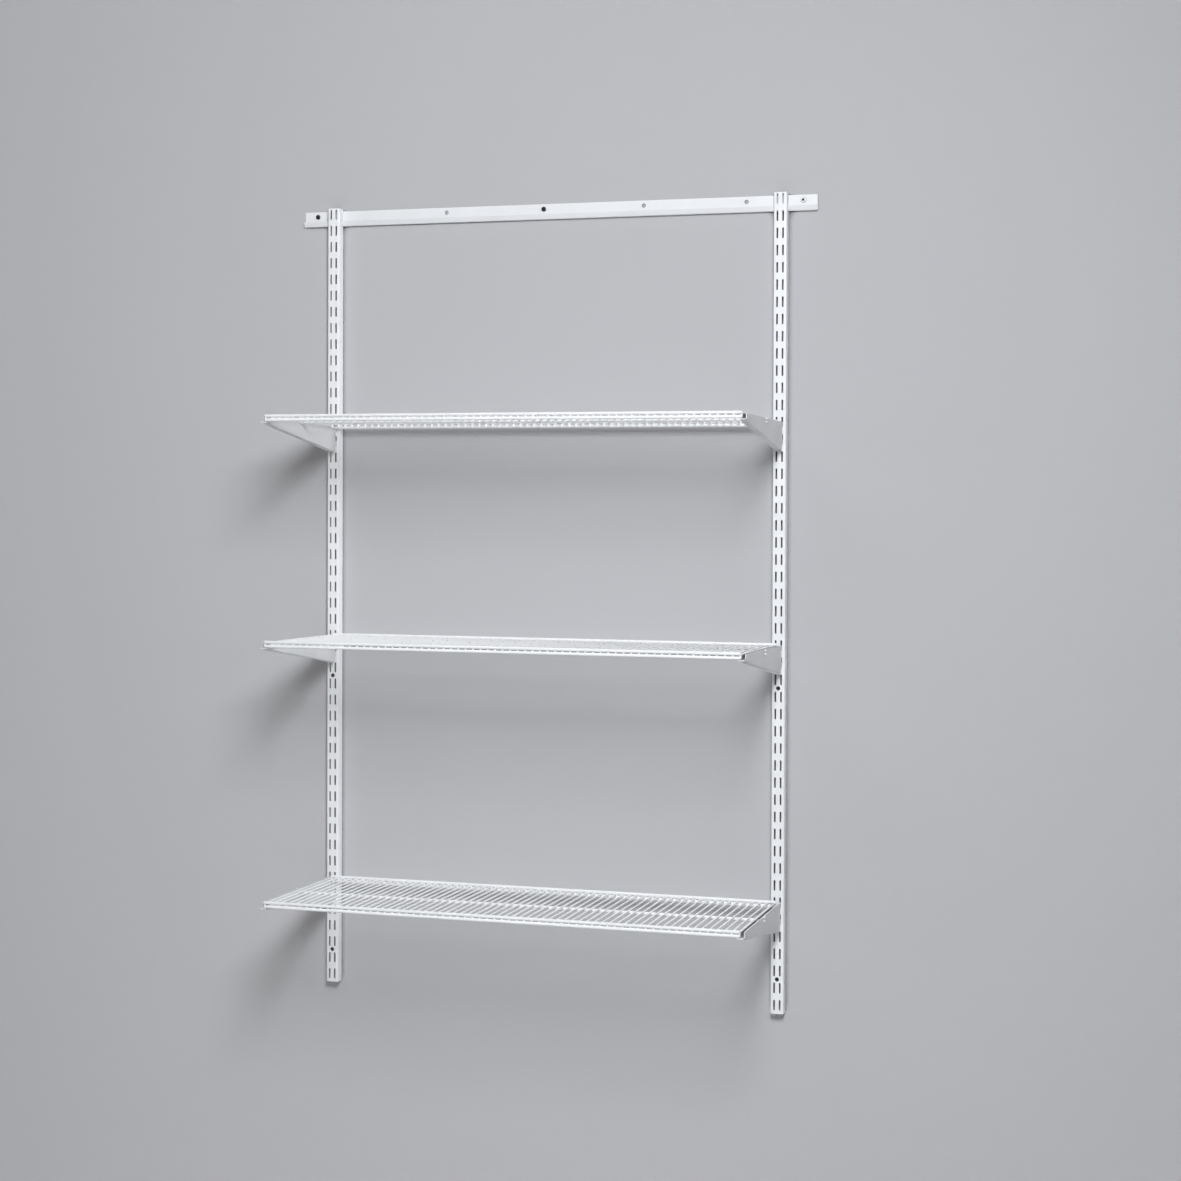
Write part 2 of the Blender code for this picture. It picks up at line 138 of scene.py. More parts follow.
def unit(rows: Array) -> Array:
    """Rows of an array, scaled to a length of one."""
    return rows / np.linalg.norm(rows, axis=1, keepdims=True)


def quads(start: Array, end: Array, step: int) -> Array:
    """Faces between edges, given by their ends' numbers, and the same edges one step of numbers on."""
    return np.stack([start, end, end + step, start + step], axis=-1).reshape(-1, 4)


@dataclass
class Shell:
    """Vertices and faces of a mesh before it goes into Blender.

    The faces are arrays, one for each count of corners or patch, with a face in each row.
    """

    vertices: Array
    faces: list[Array]

    def __add__(self, other: Shell) -> Shell:
        """This shell and another one together."""
        shifted = [patch + len(self.vertices) for patch in other.faces]
        return Shell(np.concatenate([self.vertices, other.vertices]), self.faces + shifted)

    def repeated(self, offsets: Array) -> Shell:
        """One shell of copies of this one, each moved by its own row of the offsets."""
        steps = len(self.vertices) * np.arange(len(offsets))[:, None, None]
        return Shell((self.vertices[None] + offsets[:, None]).reshape(-1, 3),
                     [(patch[None] + steps).reshape(-1, patch.shape[1]) for patch in self.faces])

    def moved(self, place: Triple, tilt: float = 0.0) -> Shell:
        """This shell turned about X through the origin, by a tilt in radians, and then moved."""
        turn = np.array(Matrix.Rotation(tilt, 3, "X"))
        return Shell(self.vertices @ turn.T + np.array(place), self.faces)

    def mesh(self, name: str) -> Mesh:
        """Blender's mesh of this shell, welded, with outward faces.

        Args:
            name: The mesh's name.

        Returns:
            The new mesh.
        """
        corners = [face for patch in self.faces for face in patch.tolist()]
        mesh = bpy.data.meshes.new(name)
        mesh.from_pydata(self.vertices.tolist(), [], corners)
        shape = bmesh.new()
        shape.from_mesh(mesh)
        bmesh.ops.remove_doubles(shape, verts=shape.verts, dist=WELD_REACH)
        bmesh.ops.recalc_face_normals(shape, faces=shape.faces)
        shape.to_mesh(mesh)
        shape.free()
        return mesh


def ringed(rings: Array) -> Shell:
    """Closed shell over a row of rings, with a flat cap on the first ring and on the last.

    Args:
        rings: Array of rings, each with as many points, and three places for each point.

    Returns:
        The closed shell, with its walls ahead of its caps.
    """
    count, sides = rings.shape[:2]
    here = np.arange(sides)
    row = sides * np.arange(count - 1)[:, None]
    walls = quads(row + here, row + (here + 1) % sides, sides)
    return Shell(rings.reshape(-1, 3), [walls, here[None, ::-1], here[None] + sides * (count - 1)])


def rounded_outline(corners: list[Triple], steps: int = 6) -> Array:
    """Closed outline with an arc at each corner.

    Each arc's centre lies on the bisector of its corner, at the radius over the sine of the half angle from
    it, and the arc runs between the two points where the circle touches the sides.

    Args:
        corners: Each corner's two places and its radius, where zero keeps it sharp.
        steps: Count of points on an arc.

    Returns:
        Array of points with two places each.
    """
    table = np.array(corners, float)
    points, radius = table[:, :2], table[:, 2:]
    back, ahead = unit(np.roll(points, 1, axis=0) - points), unit(np.roll(points, -1, axis=0) - points)
    half_angle = np.arccos(np.clip((back * ahead).sum(1, keepdims=True), -1, 1)) / 2
    centre = points + unit(back + ahead) * radius / np.sin(half_angle)
    start, end = (points + side * radius / np.tan(half_angle) - centre for side in (back, ahead))
    first, last = (np.arctan2(spoke[:, 1], spoke[:, 0]) for spoke in (start, end))
    sweep = (last - first + np.pi) % (2 * np.pi) - np.pi
    turns = first[:, None] + sweep[:, None] * np.linspace(0, 1, steps)
    arcs = centre[:, None] + radius[:, None] * np.stack([np.cos(turns), np.sin(turns)], axis=2)
    outline = arcs.reshape(-1, 2)
    gap = np.linalg.norm(outline - np.roll(outline, 1, axis=0), axis=1)
    return outline[gap > WELD_REACH]


def round_outline(radius: float, stretch: float, sides: int) -> Array:
    """Outline of a circle, or of a slot with round ends.

    A point is the radius times the cosine and sine of its turn, with half the stretch added above and below.

    Args:
        radius: Radius of the circle or of the ends.
        stretch: Length of the slot's straight sides, zero for a circle.
        sides: Count of points.

    Returns:
        Array of points with two places each.
    """
    turns = (np.arange(sides) + 0.5) * 2 * np.pi / sides
    rise = np.sin(turns)
    return np.stack([radius * np.cos(turns), radius * rise + np.sign(rise) * stretch / 2], axis=1)


def carried(outline: Array, axis: Axis, near: float, far: float, open_edges: int = 0) -> Shell:
    """Closed prism: an outline carried along an axis.

    Args:
        outline: Points with two places each.
        axis: The direction of the prism.
        near: Where the prism starts.
        far: Where it ends.
        open_edges: Count of sides left open before the outline closes.

    Returns:
        The prism's shell.
    """
    ends = np.stack([points_at(*outline.T, place) for place in (near, far)])
    prism = ringed(ends[:, :, list(axis.value)])
    prism.faces[0] = prism.faces[0][:len(outline) - open_edges]
    return prism


def tube(path: Array, radii: float | Array, sides: int, across: Triple) -> Shell:
    """Round wire along a path that lies in one plane.

    A ring's point is its centre plus the radius times the cosine of its turn along the fixed direction across
    the plane and the sine along the direction square to that and to the path.

    Args:
        path: Centres with three places each.
        radii: Radius of the wire, or one for each centre.
        sides: Count of sides of the section.
        across: Unit direction square to the path's plane.

    Returns:
        The wire's closed shell.
    """
    along = unit(np.gradient(path, axis=0))
    level = np.array(across)
    upright = np.cross(along, level)
    turns = even_turns(sides)[None, :, None]
    spokes = np.cos(turns) * level + np.sin(turns) * upright[:, None]
    return ringed(path[:, None] + np.broadcast_to(radii, len(path))[:, None, None] * spokes)


def straight_wire(length: float, radius: float, sides: int) -> Shell:
    """Wire along X through the origin, with its ends softened by the coat.

    Args:
        length: Overall length.
        radius: Radius of the coated wire.
        sides: Count of sides of the section.

    Returns:
        The wire's closed shell.
    """
    inset = radius * np.array(TIP_INSET_SHARES)
    tips = radius * np.array(TIP_RADIUS_SHARES)
    places = np.concatenate([inset - length / 2, length / 2 - inset[::-1]])
    return tube(points_at(places, 0, 0), np.concatenate([tips, tips[::-1]]), sides, (0, 1, 0))


def new_object(name: str, data: bpy.types.ID) -> bpy.types.Object:
    """Put a new object in the scene.

    Args:
        name: The object's name.
        data: Its mesh, camera or lamp.

    Returns:
        The new object.
    """
    made = bpy.data.objects.new(name, data)
    bpy.context.scene.collection.objects.link(made)
    return made


def carved(body: Shell, cutter: Shell, name: str) -> Mesh:
    """Mesh of a shell with a cutter taken out of it.

    Args:
        body: The shell to cut.
        cutter: The shell to take away.
        name: Name of the new mesh.

    Returns:
        The cut mesh.
    """
    target = new_object(name + "_uncut", body.mesh(name + "_uncut"))
    tool = new_object(name + "_cutter", cutter.mesh(name + "_cutter"))
    cut = target.modifiers.new("cut", "BOOLEAN")
    cut.operation = "DIFFERENCE"
    cut.solver = "EXACT"
    cut.object = tool
    graph = bpy.context.evaluated_depsgraph_get()
    mesh = bpy.data.meshes.new_from_object(target.evaluated_get(graph))
    mesh.name = name
    for helper in (target, tool):
        spent = helper.data
        bpy.data.objects.remove(helper)
        bpy.data.meshes.remove(spent)
    return mesh


class NodePlan:
    """A node tree under way.

    Inputs are given as values or as other nodes' outputs, under the inputs' names or numbers.
    """

    def __init__(self, tree: bpy.types.NodeTree) -> None:
        """Take up a tree."""
        self.tree = tree

    def fill(self, node: bpy.types.Node, inputs: Inputs) -> None:
        """Set or link a node's inputs.

        Args:
            node: The node.
            inputs: What goes into it.
        """
        for key, given in inputs.items():
            if isinstance(given, Socket):
                self.tree.links.new(given, node.inputs[key])
            else:
                node.inputs[key].default_value = given

    def add(self, kind: str, inputs: Inputs, output: str, operation: str = "") -> Socket:
        """Add a node and fill it.

        Args:
            kind: Blender's name for this kind of node, less the ShaderNode that it starts with.
            inputs: What goes into it.
            output: The name of the output that is used.
            operation: What a math node works out.

        Returns:
            That output.
        """
        node = self.tree.nodes.new("ShaderNode" + kind)
        if operation:
            node.operation = operation
        self.fill(node, inputs)
        return node.outputs[output]

    def span(self, given: Socket, source: Pair, target: Pair) -> Socket:
        """Output that carries the given one's number evenly from its source range to a target range."""
        ends = dict(zip(("From Min", "From Max", "To Min", "To Max"), source + target))
        return self.add("MapRange", {"Value": given, **ends}, "Result")


class MaterialPlan(NodePlan):
    """A new material under way, whose patterns read Object coordinates."""

    def __init__(self, name: str) -> None:
        """Start the material of this name."""
        self.material = bpy.data.materials.new(name)
        self.material.use_nodes = True
        super().__init__(self.material.node_tree)
        self.shader = self.tree.nodes["Principled BSDF"]
        self.place = self.add("TexCoord", {}, "Object")

    def noise(self, scale: float, grain: Pair) -> Socket:
        """Noise with this count of patches for each metre, and with a detail and a roughness as its grain."""
        return self.add("TexNoise", {
            "Vector": self.place, "Scale": scale, "Detail": grain[0], "Roughness": grain[1]}, "Fac")

    def ramp(self, share: Socket, stops: list[tuple[float, Triple]]) -> Socket:
        """Colour that runs evenly from stop to stop.

        Args:
            share: The output that says how far along the ramp the colour is.
            stops: Place and colour of each stop, in order.

        Returns:
            The output with the colour.
        """
        output = self.add("ValToRGB", {"Fac": share}, "Color")
        elements = output.node.color_ramp.elements
        for place, _ in stops[1:-1]:
            elements.new(place)
        for element, (place, colour) in zip(elements, stops):
            element.position = place
            element.color = (*colour, 1.0)
        return output

    def relief(self, height: Socket, strength: float, depth: float) -> None:
        """Give the surface a relief that follows an output, with a strength and a depth in metres."""
        normal = self.add("Bump", {"Height": height, "Strength": strength, "Distance": depth}, "Normal")
        self.fill(self.shader, {"Normal": normal})


@dataclass(frozen=True)
class Coat:
    """A baked coat on metal, with soft mottling, a fine ripple and a little change in gloss.

    Scales are counts for each metre, and a grain is a noise's detail and roughness. Stops are the noise at
    which the coat is thin and thick, or has its least and its most roughness.
    """

    name: str
    colour: Triple
    thin_colour: Triple
    roughness: Pair = (0.34, 0.48)
    ripple_scale: float = 900.0
    ripple_height: float = 0.00006
    metallic: float = 0.0
    mottle_scale: float = 14.0
    mottle_stops: Pair = (0.3, 0.62)
    gloss_share: float = 5.0
    gloss_stops: Pair = (0.3, 0.7)
    mottle_grain: Pair = (4.0, 0.6)
    gloss_grain: Pair = (3.0, 0.5)
    ripple_grain: Pair = (2.0, 0.45)
    ripple_strength: float = 0.5

    def material(self) -> bpy.types.Material:
        """The coat's node material, made once and shared."""
        made = bpy.data.materials.get(self.name)
        if made:
            return made
        plan = MaterialPlan(self.name)
        mottle = plan.noise(self.mottle_scale, self.mottle_grain)
        gloss = plan.noise(self.mottle_scale * self.gloss_share, self.gloss_grain)
        plan.fill(plan.shader, {
            "Metallic": self.metallic,
            "Base Color": plan.ramp(mottle, list(zip(self.mottle_stops, (self.thin_colour, self.colour)))),
            "Roughness": plan.span(gloss, self.gloss_stops, self.roughness),
        })
        ripple = plan.noise(self.ripple_scale, self.ripple_grain)
        plan.relief(ripple, self.ripple_strength, self.ripple_height)
        return plan.material


class Finish(Enum):
    """The finishes of the pieces."""

    POWDER = Coat("powder_coat", (0.885, 0.892, 0.905), (0.845, 0.853, 0.868))
    DIPPED = Coat("dipped_wire_coat", (0.92, 0.925, 0.935), (0.89, 0.895, 0.905), (0.26, 0.38),
                  ripple_scale=420.0, ripple_height=0.00005)
    WHITE_PAINT = Coat("screw_paint", (0.86, 0.86, 0.85), (0.76, 0.76, 0.74), (0.28, 0.42),
                       ripple_scale=1500.0, ripple_height=0.00004)
    # A darker copy of the white powder for the rail: painted shade that tones down the rail, which stands
    # nearest the key lamp.
    RAIL_POWDER = Coat("rail_powder", (0.84, 0.847, 0.862), (0.81, 0.817, 0.83))
    # A still darker copy for the rail's lip: painted shade of a lip that faces away from the light.
    LIP_POWDER = Coat("lip_powder", (0.775, 0.782, 0.80), (0.745, 0.752, 0.768), (0.36, 0.50))
    # A darker copy of the white powder for the brackets: painted shade for plates lit at a grazing angle.
    FOLD_POWDER = Coat("fold_powder", (0.745, 0.753, 0.765), (0.71, 0.718, 0.73), (0.36, 0.50))
    # Dark grey for the faces between a bracket's plates: painted shade.
    BRACKET_INSIDE_SHADE = Coat("bracket_inside_painted_shade", (0.60, 0.606, 0.616), (0.52, 0.526, 0.536), (0.50, 0.64))
    # Dark grey for the inside of the uprights' channels: painted shade that makes the slots look dark.
    THIN = Coat("channel_inside_painted_shade", (0.44, 0.445, 0.455), (0.36, 0.365, 0.375), (0.50, 0.64))
    DARK_OXIDE = Coat("dark_oxide", (0.060, 0.054, 0.050), (0.025, 0.022, 0.020), (0.30, 0.52),
                      ripple_scale=2200.0, ripple_height=0.00005, metallic=0.85, mottle_scale=260.0)


def all_places(items: bpy.types.bpy_prop_collection, field: str) -> Array:
    """One field of all vertices or faces, with a row of three numbers for each."""
    items.foreach_get(field, places := np.empty(len(items) * 3))
    return places.reshape(-1, 3)


def add_piece(mesh: Mesh, finish: Finish, body: str, node: str) -> None:
    """Put a finished piece in the scene in place of its plain solid, under its mesh's name.

    Args:
        mesh: The piece's mesh, in place.
        finish: Its finish.
        body: The body that it moves with.
        node: The solid that it stands for.
    """
    mesh.shade_smooth()
    mesh.set_sharp_from_angle(angle=SHARP_ANGLE)
    mesh.materials.clear()
    mesh.materials.append(finish.value.material())
    piece = new_object(mesh.name, mesh)
    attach(piece, body)
    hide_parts(node)
    low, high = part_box(node)
    places = all_places(mesh.vertices, "co")
    off = max(np.abs(places.min(0) - low).max(), np.abs(places.max(0) - high).max())
    LOG.info("%s: %d faces, box within %.2f mm of its solid", piece.name, len(mesh.polygons), off * 1000)


def face_places(mesh: Mesh) -> tuple[Array, Array]:
    """Centres and normals of a mesh's faces."""
    return all_places(mesh.polygons, "center"), all_places(mesh.polygons, "normal")


def coat_faces(mesh: Mesh, finish: Finish, picked: Array) -> None:
    """Give some faces of a dressed piece a further finish.

    Args:
        mesh: The piece's mesh.
        finish: The further finish.
        picked: Tells for each face whether it gets it.
    """
    finishes = np.empty(len(mesh.polygons), np.int32)
    mesh.polygons.foreach_get("material_index", finishes)
    finishes[picked] = len(mesh.materials)
    mesh.materials.append(finish.value.material())
    mesh.polygons.foreach_set("material_index", finishes)


@dataclass(frozen=True)
class HangRail:
    """The plate on the wall with its upturned lip and its row of holes."""

    length: float = 1.035
    height: float = 0.030
    sheet: float = 0.0018
    lip_reach: float = 0.0093
    lip_height: float = 0.010
    lip_lean: float = 0.0024
    bend_radius: float = 0.0012
    edge_radius: float = 0.0004
    hole_radius: float = 0.004
    hole_drop: float = 0.010
    end_hole_inset: float = 0.027
    hole_start: float = 0.2995
    hole_pitch: float = 0.200
    hole_clear_share: float = 0.333
    hole_sides: int = 32

    def section(self, grow: float) -> Array:
        """The rail's section in Y and Z.

        Args:
            grow: Clearance added all round.

        Returns:
            The outline's points.
        """
        top, bottom = self.height / 2 + grow, -self.height / 2
        edge = self.edge_radius
        return rounded_outline([
            (grow, top, edge),
            (-self.sheet - grow, top, edge),
            (-self.sheet - grow, bottom + self.sheet + grow, edge),
            (-self.lip_reach + self.lip_lean + self.sheet + grow, bottom + self.sheet + grow, edge),
            (-self.lip_reach + self.sheet + grow, bottom + self.lip_height + grow, edge),
            (-self.lip_reach - grow, bottom + self.lip_height + grow, edge),
            (-self.lip_reach + self.lip_lean - grow, bottom - grow, self.bend_radius + grow),
            (grow, bottom - grow, edge),
        ])

    def hole_places(self) -> Array:
        """Places of the holes along X from the left, with a share of the pitch clear at the right end."""
        left = -self.length / 2
        end = self.length - self.end_hole_inset - self.hole_pitch * self.hole_clear_share
        inner = left + np.arange(self.hole_start, end, self.hole_pitch)
        return np.concatenate([[left + self.end_hole_inset], inner, [-left - self.end_hole_inset]])

    def build(self) -> None:
        """Make the rail and dress it."""
        body = carried(self.section(0), Axis.X, -self.length / 2, self.length / 2)
        ring = round_outline(self.hole_radius, 0, self.hole_sides)
        drill = carried(ring, Axis.Y, -self.sheet - CUT_OVERRUN, CUT_OVERRUN)
        offsets = points_at(self.hole_places(), 0, self.height / 2 - self.hole_drop)
        mesh = carved(body, drill.repeated(offsets), "rail_sheet")
        # The rail takes the darker copy of the white powder: painted shade.
        add_piece(mesh, Finish.RAIL_POWDER, "rail", "hang_rail")
        centres, _ = face_places(mesh)
        # The lip's faces take a darker copy of the powder: painted shade.
        on_lip = centres[:, 1] < -self.lip_reach + self.lip_lean + self.sheet / 2
        coat_faces(mesh, Finish.LIP_POWDER, on_lip)


@dataclass(frozen=True)
class RailScrew:
    """A pan head screw with a cross recess.

    Its shares are of the head's radius for the ring round its pole and for its rim, which carries a painted
    line of shade, of the shank's radius for the blunt point, and of the recess's width for its reach to
    either side of an arm's middle.
    """

    node: str
    head_radius: float
    finish: Finish
    slot: str
    shank_radius: float = 0.0025
    head_height: float = 0.0026
    head_rim: float = 0.0010
    recess_reach: float = 0.0023
    recess_width: float = 0.0012
    recess_depth: float = 0.0016
    point_length: float = 0.006
    plain_length: float = 0.004
    thread_pitch: float = 0.0022
    thread_depth: float = 0.0004
    seat: float = -0.0021
    pole_share: float = 0.02
    point_share: float = 0.08
    dark_rim_share: float = 0.97
    arm_share: float = 1.5
    sides: int = 64
    head_rings: int = 22
    shank_rings: int = 60

    def head_depth(self, radius: Array, turn: Array) -> Array:
        """Place along Y of the head's outer surface.

        The crown is a half ellipse over the radius. The recess is taken out of it where a point lies close
        enough to either arm of a cross, and it grows shallower towards the sides and the ends of the arms.

        Args:
            radius: Distance from the screw's axis.
            turn: Angle round the axis.

        Returns:
            The places along Y.
        """
        dome = np.sqrt(np.clip(1 - (radius / self.head_radius) ** 2, 0, 1))
        off_arm = radius * np.minimum(np.abs(np.sin(turn)), np.abs(np.cos(turn)))
        across = np.clip(self.arm_share - off_arm / self.recess_width, 0, 1)
        along = np.clip((self.recess_reach - radius) / self.recess_width, 0, 1)
        crown = (self.head_height - self.head_rim) * dome
        return self.seat - self.head_rim - crown + self.recess_depth * (across * along)

    def build(self) -> None:
        """Make the screw, turned about the middle of its solid, and dress it.

        Its rings are those of the head, its rim, the shank and the point. The thread adds half its depth
        times one plus a cosine, which runs through a turn for each pitch and once round the shank.
        """
        low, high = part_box(self.node)
        middle_x, middle_z = (low.x + high.x) / 2, (low.z + high.z) / 2
        turns = even_turns(self.sides)
        radii = self.head_radius * np.linspace(self.pole_share, 1, self.head_rings)
        radius, turn = np.meshgrid(radii, turns, indexing="ij")
        runs = np.linspace(self.seat, high.y - self.point_length, self.shank_rings)[:, None]
        wave = self.thread_depth * (0.5 + 0.5 * np.cos(2 * np.pi * runs / self.thread_pitch + turns))
        wave = wave * (runs > self.seat + self.plain_length)
        bands = [
            (radius, self.head_depth(radius, turn)),
            (self.head_radius, np.full((1, 1), self.seat)),
            (self.shank_radius - self.thread_depth + wave, runs),
            (self.shank_radius * self.point_share, np.full((1, 1), high.y)),
        ]
        rings = [points_at(middle_x + wide * np.cos(turns), depth, middle_z + wide * np.sin(turns))
                 for wide, depth in bands]
        mesh = ringed(np.concatenate(rings)).mesh(self.node + "_turned")
        add_piece(mesh, self.finish, "rail", self.node)
        # Dark steel in the recess and on a thin ring at the head's rim: in the recess bare steel deepened
        # with painted shade, on the ring a painted shade line round the head; the shank is bare steel.
        centres, _ = face_places(mesh)
        off_axis = np.hypot(centres[:, 0] - middle_x, centres[:, 2] - middle_z)
        recess_and_rim = (off_axis < self.recess_reach) | (off_axis > self.head_radius * self.dark_rim_share)
        on_shank = centres[:, 1] > self.seat + CONTACT_GAP
        coat_faces(mesh, Finish.DARK_OXIDE, recess_and_rim & (centres[:, 1] < self.seat) | on_shank)


@dataclass(frozen=True)
class Upright:
    """A channel open to the wall, with two columns of slots in its face.

    Inside the channel and at the slots' sides a dark grey is painted as shade, so that the slots look dark,
    but not on faces that look up or down past end_limit.
    """

    side: Side
    layout: Layout
    rail: HangRail
    width: float = 0.025
    sheet: float = 0.0015
    corner_radius: float = 0.0024
    edge_radius: float = 0.0003
    slot_length: float = 0.020
    slot_width: float = 0.0033
    slot_spacing: float = 0.0107
    slot_sides: int = 16
    last_slot_margin: float = 0.015
    hole_radius: float = 0.004
    hole_rows: tuple[float, ...] = (28.5, 45.5)
    hole_sides: int = 32
    end_limit: float = 0.5

    def section(self) -> Array:
        """Outline of the channel's section in X and Y."""
        half, face = self.width / 2, self.layout.face
        inner, floor = half - self.sheet, face + self.sheet
        inner_radius = self.corner_radius - self.sheet
        edge = self.edge_radius
        return rounded_outline([
            (-half, 0, edge),
            (-half, face, self.corner_radius),
            (half, face, self.corner_radius),
            (half, 0, edge),
            (inner, 0, edge),
            (inner, floor, inner_radius),
            (-inner, floor, inner_radius),
            (-inner, 0, edge),
        ])

    def cutter(self, low: float) -> Shell:
        """Everything that is cut out of the channel: slots, fixing holes and the room for the rail.

        Args:
            low: Height of the channel's lower end.

        Returns:
            The cutters as one shell.
        """
        near, far = self.layout.face - CUT_OVERRUN, self.layout.face + self.sheet + CUT_OVERRUN
        drop = self.layout.first_slot_height - low - self.last_slot_margin
        heights = self.layout.row_height(np.arange(int(drop / self.layout.slot_pitch) + 1))
        columns, levels = np.meshgrid(self.slot_spacing / 2 * np.array([-1, 1]), heights)
        ring = round_outline(self.slot_width / 2, self.slot_length - self.slot_width, self.slot_sides)
        slots = carried(ring, Axis.Y, near, far).repeated(points_at(columns.ravel(), 0, levels.ravel()))
        hole = carried(round_outline(self.hole_radius, 0, self.hole_sides), Axis.Y, near, far)
        holes = hole.repeated(points_at(0, 0, self.layout.row_height(np.array(self.hole_rows))))
        half = self.width / 2 + CUT_OVERRUN
        rail = carried(self.rail.section(CONTACT_GAP), Axis.X, -half, half)
        return slots + holes + rail

    def build(self) -> None:
        """Make the upright and dress it."""
        node = self.side.word + "_upright"
        low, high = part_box(node)
        place = (self.layout.upright_place(self.side), 0, 0)
        channel = carried(self.section(), Axis.Z, low.z, high.z)
        mesh = carved(channel.moved(place), self.cutter(low.z).moved(place), node + "_channel")
        add_piece(mesh, Finish.POWDER, node, node)
        centres, normals = face_places(mesh)
        behind = centres[:, 1] > self.layout.face + CONTACT_GAP
        between = np.abs(centres[:, 0] - place[0]) < self.width / 2 - self.sheet / 2
        # Painted shade: the channel's inside and the slots' sides take a dark grey.
        coat_faces(mesh, Finish.THIN, behind & between & (np.abs(normals[:, 2]) < self.end_limit))


@dataclass(frozen=True)
class WireShelf:
    """A shelf of welded wires: stacked edge wires, one wire under the deck and bent wires across."""

    level: Level
    layout: Layout
    length: float = 0.899
    span: float = 0.300
    front_rise: float = 0.0045
    rear_reach: float = 0.008
    rear_height: float = 0.002
    edge_radius: float = 0.00275
    edge_drop: float = 0.0075
    deck_radius: float = 0.00145
    deck_pitch: float = 0.014
    deck_drop: float = 0.0013
    bend_radius: float = 0.003
    foot_drop: float = 0.0092
    mid_radius: float = 0.0025
    mid_reach: float = 0.157
    weld_depth: float = 0.0004
    web_radius: float = 0.0018
    web_inset: float = 0.0008
    web_end_shares: Pair = (0.2, 0.8)
    edge_sides: int = 20
    deck_sides: int = 8
    bend_steps: int = 3

    @property
    def tilt(self) -> float:
        """Angle by which the deck rises towards the room."""
        return math.atan2(self.front_rise, self.span)

    @property
    def mid_depth(self) -> float:
        """Depth of the mid wire's centre below the edge wires' centres."""
        return self.deck_drop + self.deck_radius + self.mid_radius - self.weld_depth

    def point(self, distance: float, depth: float) -> Pair:
        """Reach and height over the row of a point that far in front of the rear wire and below it."""
        sine, cosine = math.sin(self.tilt), math.cos(self.tilt)
        return (self.rear_reach + distance * cosine + depth * sine,
                self.rear_height + distance * sine - depth * cosine)

    def long_wires(self) -> Shell:
        """The five wires along X, about the middle of the rear wire.

        Returns:
            The wires as one shell.
        """
        edge = straight_wire(self.length, self.edge_radius, self.edge_sides)
        edges = edge.repeated(np.array([
            (0, -distance, -drop) for distance in (0, self.span) for drop in (0, self.edge_drop)]))
        mid = straight_wire(self.length, self.mid_radius, self.edge_sides)
        return edges + mid.moved((0, -self.mid_reach, -self.mid_depth))

    def deck_wires(self) -> Shell:
        """The wires from rear to front, with both ends bent down inside the edge wires.

        A wire's path is a foot, a quarter circle of the bend radius, a straight run and the same mirrored.

        Returns:
            The wires as one shell.
        """
        inset = self.edge_radius + self.deck_radius - self.weld_depth
        turns = np.linspace(0, np.pi / 2, self.bend_steps)
        bend = np.column_stack([
            -inset - self.bend_radius * (1 - np.cos(turns)),
            -self.deck_drop - self.bend_radius * (1 - np.sin(turns))])
        rear = np.concatenate([[(-inset, -self.foot_drop)], bend])
        front = (rear * (-1, 1) - (self.span, 0))[::-1]
        path = points_at(0, *np.concatenate([rear, front]).T)
        wire = tube(path, self.deck_radius, self.deck_sides, (1, 0, 0))
        first = self.length / 2 - self.deck_radius
        places = np.linspace(-first, first, round(2 * first / self.deck_pitch) + 1)
        end = self.length / 2 - self.web_radius
        return wire.repeated(points_at(places, 0, 0)) + self.coat_webs(np.clip(places, -end, end))

    def coat_webs(self, places: Array) -> Shell:
        """The coat that bridges the two edge wires at each wire across, at the rear and at the front.

        Args:
            places: Places of the wires across along X.

        Returns:
            The webs as one shell.
        """
        path = points_at(0, 0, -self.edge_drop * np.array(self.web_end_shares))
        web = tube(path, self.web_radius, self.deck_sides, (1, 0, 0))
        rear = points_at(places, -self.web_inset, 0)
        front = rear * (1, -1, 1) - (0, self.span, 0)
        return web.repeated(np.concatenate([rear, front]))

    def build(self) -> None:
        """Make the shelf and dress it."""
        node = self.level.word + "_shelf"
        place = (0, self.layout.face - self.rear_reach,
                 self.layout.row_height(self.level.value) + self.rear_height)
        wires = (self.long_wires() + self.deck_wires()).moved(place, -self.tilt)
        add_piece(wires.mesh(node + "_wires"), Finish.DIPPED, node, node)


